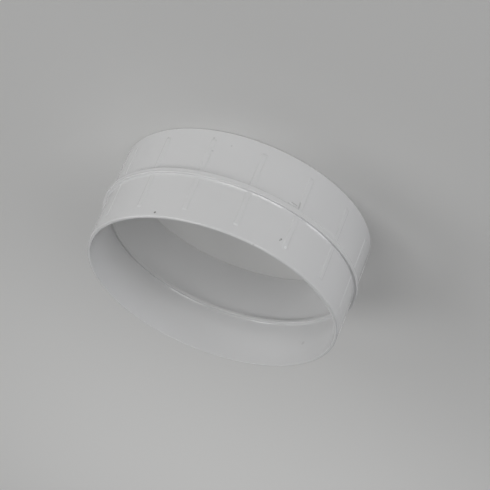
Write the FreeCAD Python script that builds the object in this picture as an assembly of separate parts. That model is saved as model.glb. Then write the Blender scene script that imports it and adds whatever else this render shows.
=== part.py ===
import FreeCAD, Part
import math
import os

# Inline connector for two lengths of round duct, moulded in one piece. Millimetres and degrees.
# The ring stands on one rim: that rim is at z = 0, the centre of the bore is on the Z axis.
duct_bore = 150.0        # inside diameter of the duct that slides over either spigot
duct_play = 0.35         # all round, between the duct and the plain wall of the spigot
spigot_length = 28.65    # from the collar's face to the rim, both sides alike
wall = 1.8               # thickness of the spigots

collar_width = 3.0       # along the axis: the stop that both ducts butt against
collar_height = 2.0      # above the spigots
collar_bevel = 0.4       # outer corners of the collar, broken at 45 degrees
collar_foot = 0.5        # sloping foot where the collar meets the spigots

bead_width = 2.0         # stiffening ridge inside the bore, behind the collar
bead_height = 2.0        # into the bore
bead_offset = 0.8        # the ridge's middle lies this far above the collar's middle
bead_bevel = 0.4         # inner corners of the ridge, broken at 45 degrees
bead_foot = 0.5          # sloping foot where the ridge meets the bore

rim_round = 1.0          # rounded lead-in at the rims, outer corner
rim_bevel = 0.4          # inner corner

rib_count = 16           # low grip ribs round each spigot, in line across the collar
rib_first = -88.4        # direction of the first rib from the X axis
rib_width = 3.4          # at the wall
rib_crown = 1.6          # flat crown of the rib, between its sloping sides
rib_height = 0.3         # the crowns all but touch the duct
rib_to_rim = 6.5         # plain wall between the ribs' ends and the rim
rib_end_slope = 1.2      # length over which a rib runs out at its end
rib_root = 0.9           # how far the rib's body goes down into the wall

# Radii and levels that follow from the sizes above.
r_out = duct_bore / 2 - duct_play
r_in = r_out - wall
r_collar = r_out + collar_height
r_bead = r_in - bead_height
length = 2 * spigot_length + collar_width
middle = length / 2
collar_low = middle - collar_width / 2
collar_high = middle + collar_width / 2
bead_middle = middle + bead_offset
bead_low = bead_middle - bead_width / 2
bead_high = bead_middle + bead_width / 2


def vec(r, z):
    """A point of the ring's section, in the X-Z plane."""
    return FreeCAD.Vector(r, 0, z)


def eased_outline(corners):
    """Closed outline through (r, z, size, kind) corners, each one rounded by an arc or broken by a 45 degree bevel."""
    points = [vec(r, z) for r, z, size, kind in corners]
    cuts = []
    n = len(corners)
    for i in range(n):
        here = points[i]
        back = (points[i - 1] - here).normalize()
        ahead = (points[(i + 1) % n] - here).normalize()
        size = corners[i][2]
        bulge = here + (back + ahead) * (size * (1 - math.sqrt(0.5)))
        cuts.append((here + back * size, bulge, here + ahead * size))
    edges = []
    for i in range(n):
        start, bulge, end = cuts[i]
        if corners[i][3] == "round":
            edges.append(Part.Arc(start, bulge, end).toShape())
        else:
            edges.append(Part.LineSegment(start, end).toShape())
        edges.append(Part.LineSegment(end, cuts[(i + 1) % n][0]).toShape())
    return Part.Wire(edges)


# The ring's section, round the outside from the lower rim to the upper rim and back down the bore.
section = eased_outline([
    (r_out, 0, rim_round, "round"),
    (r_out, collar_low, collar_foot, "bevel"),
    (r_collar, collar_low, collar_bevel, "bevel"),
    (r_collar, collar_high, collar_bevel, "bevel"),
    (r_out, collar_high, collar_foot, "bevel"),
    (r_out, length, rim_round, "round"),
    (r_in, length, rim_bevel, "bevel"),
    (r_in, bead_high, bead_foot, "bevel"),
    (r_bead, bead_high, bead_bevel, "bevel"),
    (r_bead, bead_low, bead_bevel, "bevel"),
    (r_in, bead_low, bead_foot, "bevel"),
    (r_in, 0, rim_bevel, "bevel"),
])
axis_at = FreeCAD.Vector(0, 0, 0)
axis = FreeCAD.Vector(0, 0, 1)
ring = Part.Face(section).revolve(axis_at, axis, 360)


def rib_band(rim, root):
    """Ring-shaped envelope of one spigot's ribs, from beside the rim to inside the collar, with a sloping end."""
    step = 1 if root > rim else -1
    start = rim + step * rib_to_rim
    full = start + step * rib_end_slope
    stop = root + step * collar_width / 4
    low = r_out - rib_root
    high = r_out + rib_height
    sunk = r_out - rib_height
    outline = [vec(low, start), vec(sunk, start), vec(high, full), vec(high, stop), vec(low, stop), vec(low, start)]
    return Part.Face(Part.makePolygon(outline)).revolve(axis_at, axis, 360)


# A rib's section: a flat crown, sides that slope down into the wall, and a body sunk in the wall below them.
half = rib_width / 2
crown = r_out + rib_height
base = r_out - rib_root
spread = (half - rib_crown / 2) / rib_height
half_base = half + spread * (math.sqrt(r_out ** 2 - half ** 2) - base)
bar_outline = [
    FreeCAD.Vector(crown, rib_crown / 2, 0),
    FreeCAD.Vector(crown, -rib_crown / 2, 0),
    FreeCAD.Vector(base, -half_base, 0),
    FreeCAD.Vector(base, half_base, 0),
    FreeCAD.Vector(crown, rib_crown / 2, 0),
]
bar = Part.Face(Part.makePolygon(bar_outline)).extrude(FreeCAD.Vector(0, 0, length))

ribs = []
for rim, root in ((0, collar_low), (length, collar_high)):
    rib = bar.common(rib_band(rim, root))
    for k in range(rib_count):
        turned = rib.copy()
        turned.rotate(axis_at, axis, rib_first + k * 360 / rib_count)
        ribs.append(turned)

connector = ring.fuse(ribs).removeSplitter()
connector = connector.Solids[0] if len(connector.Solids) == 1 else connector

os.makedirs("parts", exist_ok=True)
connector.exportStep("parts/duct_connector.step")
print("outside", round(2 * r_collar, 2), "long", round(length, 2), "solids", len(connector.Solids),
      "valid", connector.isValid(), "faces", len(connector.Faces), "volume", round(connector.Volume, 1))
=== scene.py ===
import bpy
import math
import numpy as np
from mathutils import Matrix, Vector


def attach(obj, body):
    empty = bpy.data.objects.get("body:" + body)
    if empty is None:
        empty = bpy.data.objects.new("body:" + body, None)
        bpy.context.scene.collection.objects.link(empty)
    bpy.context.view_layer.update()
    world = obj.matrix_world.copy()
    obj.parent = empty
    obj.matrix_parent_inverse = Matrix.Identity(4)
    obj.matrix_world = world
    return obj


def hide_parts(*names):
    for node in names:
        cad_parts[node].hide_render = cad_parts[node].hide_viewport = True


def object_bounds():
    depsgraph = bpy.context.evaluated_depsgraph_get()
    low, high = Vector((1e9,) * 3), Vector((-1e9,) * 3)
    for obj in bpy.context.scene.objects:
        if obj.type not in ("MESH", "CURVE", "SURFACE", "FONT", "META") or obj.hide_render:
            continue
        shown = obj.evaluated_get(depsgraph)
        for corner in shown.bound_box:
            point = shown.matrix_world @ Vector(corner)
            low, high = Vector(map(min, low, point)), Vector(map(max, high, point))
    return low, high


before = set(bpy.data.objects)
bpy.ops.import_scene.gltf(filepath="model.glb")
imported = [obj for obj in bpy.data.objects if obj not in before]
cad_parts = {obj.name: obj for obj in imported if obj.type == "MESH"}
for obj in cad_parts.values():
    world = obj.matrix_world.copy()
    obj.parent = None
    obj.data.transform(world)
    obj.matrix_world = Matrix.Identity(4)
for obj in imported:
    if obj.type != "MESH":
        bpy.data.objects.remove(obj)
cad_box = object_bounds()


# The connector is one thin-walled ring moulded in white plastic. Its mesh is a closed grid: the section of
# the wall, collar and inner ridge, taken round the axis, with the grip ribs raised out of the outer wall
# and every corner rounded as a mould leaves it.
def rounded_section(corners):
    """Section points (r, z) in mm. Corner (r, z, back, ahead, steps) gives a quarter ellipse that starts that
    far back along the section and ends that far ahead; a close point on either side keeps the flats flat."""
    corners = np.array(corners, dtype=float)
    points = corners[:, :2]
    back = np.roll(points, 1, axis=0) - points
    ahead = np.roll(points, -1, axis=0) - points
    back /= np.linalg.norm(back, axis=1)[:, None]
    ahead /= np.linalg.norm(ahead, axis=1)[:, None]
    section = []
    for here, b, a, (size_back, size_ahead, steps) in zip(points, back, ahead, corners[:, 2:]):
        turn = np.linspace(0, math.pi / 2, int(steps) + 1)[:, None]
        arc = here + b * size_back * (1 - np.sin(turn)) + a * size_ahead * (1 - np.cos(turn))
        section.append(np.vstack([here + b * (size_back + 0.1), arc, here + a * (size_ahead + 0.1)]))
    return section


def ring_columns(first, count, half_rib, in_rib, between):
    """Angles round the axis in degrees, closer together over the ribs. A rib's sector reaches half_rib either
    side of its middle and holds in_rib columns; the gap up to the next one holds between columns."""
    pitch = 360 / count
    rib = np.linspace(-half_rib, half_rib, in_rib, endpoint=False)
    gap = np.linspace(half_rib, pitch - half_rib, between, endpoint=False)
    one = np.concatenate([rib, gap])
    return (first + pitch * np.arange(count)[:, None] + one[None, :]).ravel()


def smooth(x):
    """Eased step of x, 3x^2 - 2x^3 between 0 and 1."""
    x = np.clip(x, 0, 1)
    return x * x * (3 - 2 * x)


def closed_grid(name, grid):
    """Mesh of a (columns, rows, 3) grid of points in metres, closed both ways, faces outward, smooth."""
    columns, rows = grid.shape[:2]
    index = np.arange(columns * rows).reshape(columns, rows)
    right = np.roll(index, -1, axis=0)
    above = np.roll(index, -1, axis=1)
    quads = np.stack([index, right, np.roll(right, -1, axis=1), above], axis=-1).reshape(-1, 4)
    mesh = bpy.data.meshes.new(name)
    mesh.vertices.add(columns * rows)
    mesh.vertices.foreach_set("co", grid.reshape(-1).astype(np.float32))
    mesh.loops.add(quads.size)
    mesh.loops.foreach_set("vertex_index", quads.ravel().astype(np.int32))
    mesh.polygons.add(len(quads))
    mesh.polygons.foreach_set("loop_start", np.arange(0, quads.size, 4, dtype=np.int32))
    mesh.polygons.foreach_set("use_smooth", np.ones(len(quads), dtype=bool))
    mesh.update(calc_edges=True)
    mesh.validate()
    piece = bpy.data.objects.new(name, mesh)
    bpy.context.scene.collection.objects.link(piece)
    return piece


# Radii and levels in mm, from the CAD ring's box: half its width is the collar's radius.
box_low, box_high = cad_box
height = round((box_high[2] - box_low[2]) * 1000, 2)
cad_collar = round(box_high[0] * 1000, 2)
collar = cad_collar - 0.03
outer = cad_collar - 2.0
bore = outer - 1.8
ridge = bore - 2.0
collar_low = height / 2 - 1.5
collar_high = height / 2 + 1.7
ridge_low = height / 2 - 0.2
ridge_high = height / 2 + 1.8
step = 0.42

arcs = rounded_section([
    (outer, 0, 1.0, 1.0, 8),
    (outer, collar_low, 0.5, 0.5, 5),
    (collar, collar_low, 0.7, 0.7, 6),
    (collar, collar_high, 0.4, 0.35, 6),
    (outer + step, collar_high, 0.1, 0.1, 2),
    (outer, collar_high + 1.2, 0.3, 1.1, 6),
    (outer, height, 1.0, 1.0, 8),
    (bore, height, 0.2, 0.2, 3),
    (bore, ridge_high + 0.8, 0.7, 0.25, 5),
    (bore - step, ridge_high, 0.1, 0.1, 2),
    (ridge, ridge_high, 0.35, 0.35, 6),
    (ridge, ridge_low, 0.4, 0.4, 4),
    (bore, ridge_low, 0.5, 0.5, 5),
    (bore, 0, 0.2, 0.2, 3),
])
wall_levels = np.array([2.5, 4.5, 5.6, 6.0, 6.3, 6.6, 6.9, 7.2, 7.5, 7.9, 8.6, 10.5, 15.0, 20.0])
lower_wall = np.stack([np.full(wall_levels.size, outer), wall_levels], axis=1)
upper_wall = np.stack([np.full(wall_levels.size, outer), height - wall_levels[::-1]], axis=1)
# The mould's halves meet on the collar's crown and leave a fine shallow line round it.
parting = np.array([(0, 30.1), (0.03, 30.25), (0.09, 30.38), (0.09, 30.48), (0.03, 30.6), (0, 30.75)])
crown = np.stack([collar - parting[:, 0], parting[:, 1]], axis=1)
upper_bore = np.array([(bore, 55.0), (bore, 46.0), (bore, 39.0)])
lower_bore = np.array([(bore, 22.0), (bore, 15.0), (bore, 6.0)])
section = np.vstack(
    [arcs[0], lower_wall] + arcs[1:3] + [crown] + arcs[3:6] + [upper_wall] + arcs[6:8] + [upper_bore]
    + arcs[8:13] + [lower_bore, arcs[13]]
)

first_rib = -88.4
rib_count = 16
angle = np.radians(ring_columns(first_rib, rib_count, 1.65, 24, 14))
r = np.broadcast_to(section[:, 0], (angle.size, len(section))).copy()
z = np.broadcast_to(section[:, 1], r.shape).copy()

# Ribs with a soft crown, low enough just to touch the duct, that run out about 6.5 mm short of the rims.
rib_height = 0.3
rib_half_width = 1.7
rib_side = 0.65
rib_end = 6.4
rib_run_out = 1.1
pitch = 360 / rib_count
from_rib = (np.degrees(angle) - first_rib + pitch / 2) % pitch - pitch / 2
across = smooth((rib_half_width - np.abs(np.radians(from_rib)) * outer) / rib_side)[:, None]
to_rim = np.minimum(z, height - z)
along = smooth((to_rim - rib_end) / rib_run_out)
on_wall = (r > outer - 0.01) & (r < outer + rib_height) & (to_rim > 2)
r += np.where(on_wall, rib_height * across * along, 0)

turn = angle[:, None]
ring = np.stack([r * np.cos(turn), r * np.sin(turn), z], axis=-1) / 1000
shell = closed_grid("duct_connector_shell", ring)


class Wire:
    """An output socket in a node tree. Sums, products and powers of wires and numbers are Math nodes; node()
    adds any other node and returns its output."""

    def __init__(self, tree, socket):
        self.tree = tree
        self.socket = socket

    def math(self, operation, first, second=None, third=None, clamp=False):
        new = self.tree.nodes.new("ShaderNodeMath")
        new.operation = operation
        new.use_clamp = clamp
        for slot, value in zip(new.inputs, (first, second, third)):
            if isinstance(value, Wire):
                self.tree.links.new(value.socket, slot)
            elif value is not None:
                slot.default_value = value
        return Wire(self.tree, new.outputs[0])

    def __add__(self, other):
        return self.math("ADD", self, other)

    def __radd__(self, other):
        return self.math("ADD", other, self)

    def __sub__(self, other):
        return self.math("SUBTRACT", self, other)

    def __rsub__(self, other):
        return self.math("SUBTRACT", other, self)

    def __mul__(self, other):
        return self.math("MULTIPLY", self, other)

    def __pow__(self, other):
        return self.math("POWER", self, other)

    def node(self, kind, output=0, settings=None, **inputs):
        """Any other node: settings are its properties, inputs its sockets, by name with _ for a space or by
        number as i0, i1 and so on."""
        new = self.tree.nodes.new(kind)
        for key, value in (settings or {}).items():
            setattr(new, key, value)
        for key, value in inputs.items():
            numbered = key[0] == "i" and key[1:].isdigit()
            slot = new.inputs[int(key[1:]) if numbered else key.replace("_", " ")]
            if isinstance(value, Wire):
                self.tree.links.new(value.socket, slot)
            else:
                slot.default_value = value
        return Wire(self.tree, new.outputs[output])


def new_material(name):
    """A material with only its output and Principled shader; returns (material, shader)."""
    material = bpy.data.materials.new(name)
    material.use_nodes = True
    tree = material.node_tree
    tree.nodes.clear()
    out = tree.nodes.new("ShaderNodeOutputMaterial")
    shader = tree.nodes.new("ShaderNodeBsdfPrincipled")
    tree.links.new(shader.outputs[0], out.inputs["Surface"])
    return material, shader


def fade(value, full, none):
    """Eased mask of value: 1 up to full, 0 from none on."""
    ease = {"interpolation_type": "SMOOTHSTEP"}
    return value.node("ShaderNodeMapRange", settings=ease, Value=value, From_Min=none, From_Max=full)


def spot(turn, height, middle, size):
    """Round mark on the unrolled wall: 1 within 0.4 of size (mm) from middle (degrees, mm), 0 beyond size."""
    across = turn - math.radians(middle[0]) * outer
    up = height - middle[1]
    return fade((across * across + up * up) ** 0.5, 0.4 * size, size)


def stroke(turn, height, start, end, width):
    """Straight mark on the unrolled wall from start to end (degrees, mm), gone at width mm from its line."""
    first = (math.radians(start[0]) * outer, start[1])
    run = (math.radians(end[0] - start[0]) * outer, end[1] - start[1])
    across = turn - first[0]
    up = height - first[1]
    square = run[0] ** 2 + run[1] ** 2
    along = across.math("MULTIPLY_ADD", across, run[0] / square, up * (run[1] / square), clamp=True)
    side = across - along * run[0]
    rest = up - along * run[1]
    return fade((side * side + rest * rest) ** 0.5, 0.3 * width, width)


def strongest(masks):
    """The larger of several masks at each place."""
    top = masks[0]
    for mask in masks[1:]:
        top = top.math("MAXIMUM", top, mask)
    return top


plastic, shader = new_material("white_moulded_plastic")
tree = plastic.node_tree
place = Wire(tree, tree.nodes.new("ShaderNodeTexCoord").outputs["Object"])
east = place.node("ShaderNodeSeparateXYZ", 0, Vector=place)
north = place.node("ShaderNodeSeparateXYZ", 1, Vector=place)
height_here = place.node("ShaderNodeSeparateXYZ", 2, Vector=place) * 1000
turn_here = east.math("ARCTAN2", north, east) * outer
from_axis = (east * east + north * north) ** 0.5
inside_the_wall = 0.0738
outside = from_axis.math("GREATER_THAN", from_axis, inside_the_wall)

# Moulded white with a faint cloudiness, fine rubbed grain along the axis and a few dust specks.
cloud = place.node("ShaderNodeTexNoise", Vector=place, Scale=38.0, Detail=3.0, Roughness=0.55)
multiply = {"operation": "MULTIPLY"}
squash = place.node("ShaderNodeVectorMath", settings=multiply, i0=place, i1=(900.0, 900.0, 40.0))
grain = place.node("ShaderNodeTexNoise", Vector=squash, Scale=1.0, Detail=2.0, Roughness=0.6)
handling = place.node("ShaderNodeTexNoise", Vector=place, Scale=70.0, Detail=4.0, Roughness=0.6)
rubbed = fade(handling, 0.68, 0.54)
cell = place.node("ShaderNodeTexVoronoi", 0, Vector=place, Scale=95.0, Randomness=1.0)
chosen = place.node("ShaderNodeTexVoronoi", 1, Vector=place, Scale=95.0, Randomness=1.0)
rare = fade(place.node("ShaderNodeSeparateXYZ", 0, Vector=chosen), 0.04, 0.05)
dust = fade(cell, 0.018, 0.035) * rare

# Marks of use where the photograph shows them, as (degrees round the axis, mm above the lower rim).
dark_spots = [
    ((-53.3, 57.6), 0.85), ((-108.2, 49.2), 0.7), ((-107.8, 50.1), 0.5),
    ((-65.4, 5.7), 0.7), ((-67.1, 14.0), 0.6), ((-42.7, 6.3), 0.5),
    ((-45.4, 0.6), 0.6), ((-74.0, 8.2), 0.5), ((-98.2, 60.1), 0.6),
]
dirt = strongest([spot(turn_here, height_here, middle, size) for middle, size in dark_spots[:3]])
smudge = strongest([spot(turn_here, height_here, middle, size * 1.3) for middle, size in dark_spots[3:]])
hatch = strongest([
    stroke(turn_here, height_here, (-105.0, 27.7), (-108.1, 27.9), 0.45),
    stroke(turn_here, height_here, (-106.5, 26.1), (-109.1, 26.3), 0.45),
    stroke(turn_here, height_here, (-110.0, 23.8), (-110.2, 27.2), 0.55),
    stroke(turn_here, height_here, (-107.4, 26.9), (-108.9, 27.3), 0.4),
])
scraped = strongest([
    spot(turn_here, height_here, (-111.1, 52.2), 1.2) * 0.9,
    spot(turn_here, height_here, (-109.6, 50.6), 3.0) * 0.22,
    stroke(turn_here, height_here, (-104.5, 28.4), (-106.9, 28.9), 0.45) * 0.7,
    stroke(turn_here, height_here, (-105.8, 26.8), (-108.6, 27.0), 0.35) * 0.6,
])
inner_mark = spot(turn_here, height_here, (145.7, 45.7), 1.6)

soil = strongest([
    strongest([dirt * 0.85, smudge * 0.2, hatch * 0.3]) * outside,
    dust * 0.5,
    inner_mark * (1 - outside) * 0.14,
])
scraped = scraped * outside
tone = 1 + (cloud - 0.5) * 0.03
multiplied = {"data_type": "RGBA", "blend_type": "MULTIPLY"}
clean = place.node("ShaderNodeMix", 2, multiplied, i0=1.0, i6=(0.717, 0.7185, 0.7205, 1), i7=tone)
mixed = {"data_type": "RGBA"}
marked = place.node("ShaderNodeMix", 2, mixed, i0=soil, i6=clean, i7=(0.11, 0.105, 0.1, 1))
paled = place.node("ShaderNodeMix", 2, mixed, i0=scraped * 0.7, i6=marked, i7=(0.86, 0.87, 0.88, 1))
tree.links.new(paled.socket, shader.inputs["Base Color"])
rough = 0.12 + rubbed * 0.05 + (grain - 0.5) * 0.05 + strongest([dirt * outside, scraped]) * 0.35
tree.links.new(rough.socket, shader.inputs["Roughness"])
relief = (grain - 0.5) * 0.004 + (cloud - 0.5) * 0.02 - hatch * outside * 0.05
bump = place.node("ShaderNodeBump", Height=relief, Distance=0.001, Strength=0.35)
tree.links.new(bump.socket, shader.inputs["Normal"])
shader.inputs["IOR"].default_value = 1.6
shell.data.materials.append(plastic)
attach(shell, "root")
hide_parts("duct_connector")


# The floor is a plain pale matt sheet under the lower rim. It also glows faintly: a painted glow, not a lamp,
# that stands in for light from below and lifts the floor's shadows.
floor_mesh = bpy.data.meshes.new("floor")
floor_mesh.from_pydata([(-4, -4, 0), (4, -4, 0), (4, 4, 0), (-4, 4, 0)], [], [(0, 1, 2, 3)])
floor = bpy.data.objects.new("floor", floor_mesh)
bpy.context.scene.collection.objects.link(floor)
paper, shader = new_material("pale_floor_painted_glow")
shader.inputs["Base Color"].default_value = (0.47, 0.47, 0.463, 1)
shader.inputs["Roughness"].default_value = 0.8
# Painted glow: the floor's emission stands in for light reaching the ring from below.
shader.inputs["Emission Color"].default_value = (1, 1, 1, 1)
shader.inputs["Emission Strength"].default_value = 0.118
floor_mesh.materials.append(paper)


# Studio light, soft panels 3.2 m off: a key at the photograph's upper left, long low strips that draw the
# bright line along the collar's root, and broad panels all round. One more hangs level over the far floor.
def aimed(azimuth, elevation):
    """Placing 3.2 m from the ring's middle, facing it, at that azimuth and elevation in degrees."""
    turned = math.radians(azimuth)
    raised = math.radians(elevation)
    level = math.cos(raised)
    toward = Vector((math.cos(turned) * level, math.sin(turned) * level, math.sin(raised)))
    facing = toward.to_track_quat("Z", "Y").to_matrix().to_4x4()
    return Matrix.Translation(Vector((0, 0, 0.03)) + toward * 3.2) @ facing


def soft_panel(name, placing, wide, high, watts):
    """Area light of wide by high metres at that placing, shining down its own Z axis."""
    data = bpy.data.lights.new(name, "AREA")
    data.shape = "RECTANGLE"
    data.size = wide
    data.size_y = high
    data.energy = watts
    panel = bpy.data.objects.new(name, data)
    panel.matrix_world = placing
    bpy.context.scene.collection.objects.link(panel)
    return panel


soft_panel("key_panel", aimed(-35, 25), 0.9, 0.9, 10.6)
soft_panel("key_panel_high", aimed(-45, 58), 1.4, 1.2, 17)
soft_panel("front_strip_right", aimed(-140, 10), 3.0, 0.24, 1)
soft_panel("front_strip_middle", aimed(-90, 10), 3.0, 0.24, 9.5)
soft_panel("front_strip_left", aimed(-40, 10), 3.0, 0.24, 5.7)
soft_panel("front_panel_low", aimed(-102, 15), 2.0, 0.8, 5)
soft_panel("front_panel_high", aimed(-112, 27), 1.6, 1.2, 18.6)
soft_panel("left_strip", aimed(10, 10), 2.4, 0.24, 3.2)
soft_panel("left_panel_high", aimed(10, 38), 1.8, 1.6, 23.6)
soft_panel("right_panel_low", aimed(-165, 7), 3.0, 0.6, 21.5)
soft_panel("back_panel_high", aimed(80, 52), 1.6, 1.2, 6.4)
soft_panel("paper_panel", Matrix.Translation(Vector((-0.1, 0.46, 0.22))), 0.5, 0.5, 0.4)
bpy.data.lights["right_panel_low"].color = (0.955, 0.962, 1.0)

world = bpy.data.worlds.new("dark_room")
world.use_nodes = True
world.node_tree.nodes["Background"].inputs["Strength"].default_value = 0.0
bpy.context.scene.world = world
bpy.context.scene.view_settings.view_transform = "Standard"


# Camera at the photograph's viewing angle: 27.9 degrees above the ring's middle plane and rolled, because the
# photograph shows the ring lying on its side. Angles here are in radians.
elevation = 0.4863
roll = 2.7465
distance = 16.0935 * outer / 1000
back = np.array([0, -math.cos(elevation), math.sin(elevation)])
level = np.array([1.0, 0, 0])
upward = np.cross(back, level)
cos_roll, sin_roll = math.cos(roll), math.sin(roll)
rolled = np.stack([cos_roll * level - sin_roll * upward, sin_roll * level + cos_roll * upward, back])
pan_right, pan_up = 0.0075, -0.0027
about_up = np.array(Matrix.Rotation(pan_right, 3, "Y"))
about_right = np.array(Matrix.Rotation(pan_up, 3, "X"))
axes = about_up @ about_right @ rolled
lens = bpy.data.cameras.new("camera")
lens.sensor_width = 36
focal_pixels = 2119.82
picture_pixels = 490
lens.lens = focal_pixels / picture_pixels * lens.sensor_width
lens.clip_end = 50
camera = bpy.data.objects.new("camera", lens)
turned = Matrix(axes.T.tolist()).to_4x4()
camera.matrix_world = Matrix.Translation(Vector(back * distance) + Vector((0, 0, height / 2000))) @ turned
bpy.context.scene.collection.objects.link(camera)
bpy.context.scene.camera = camera
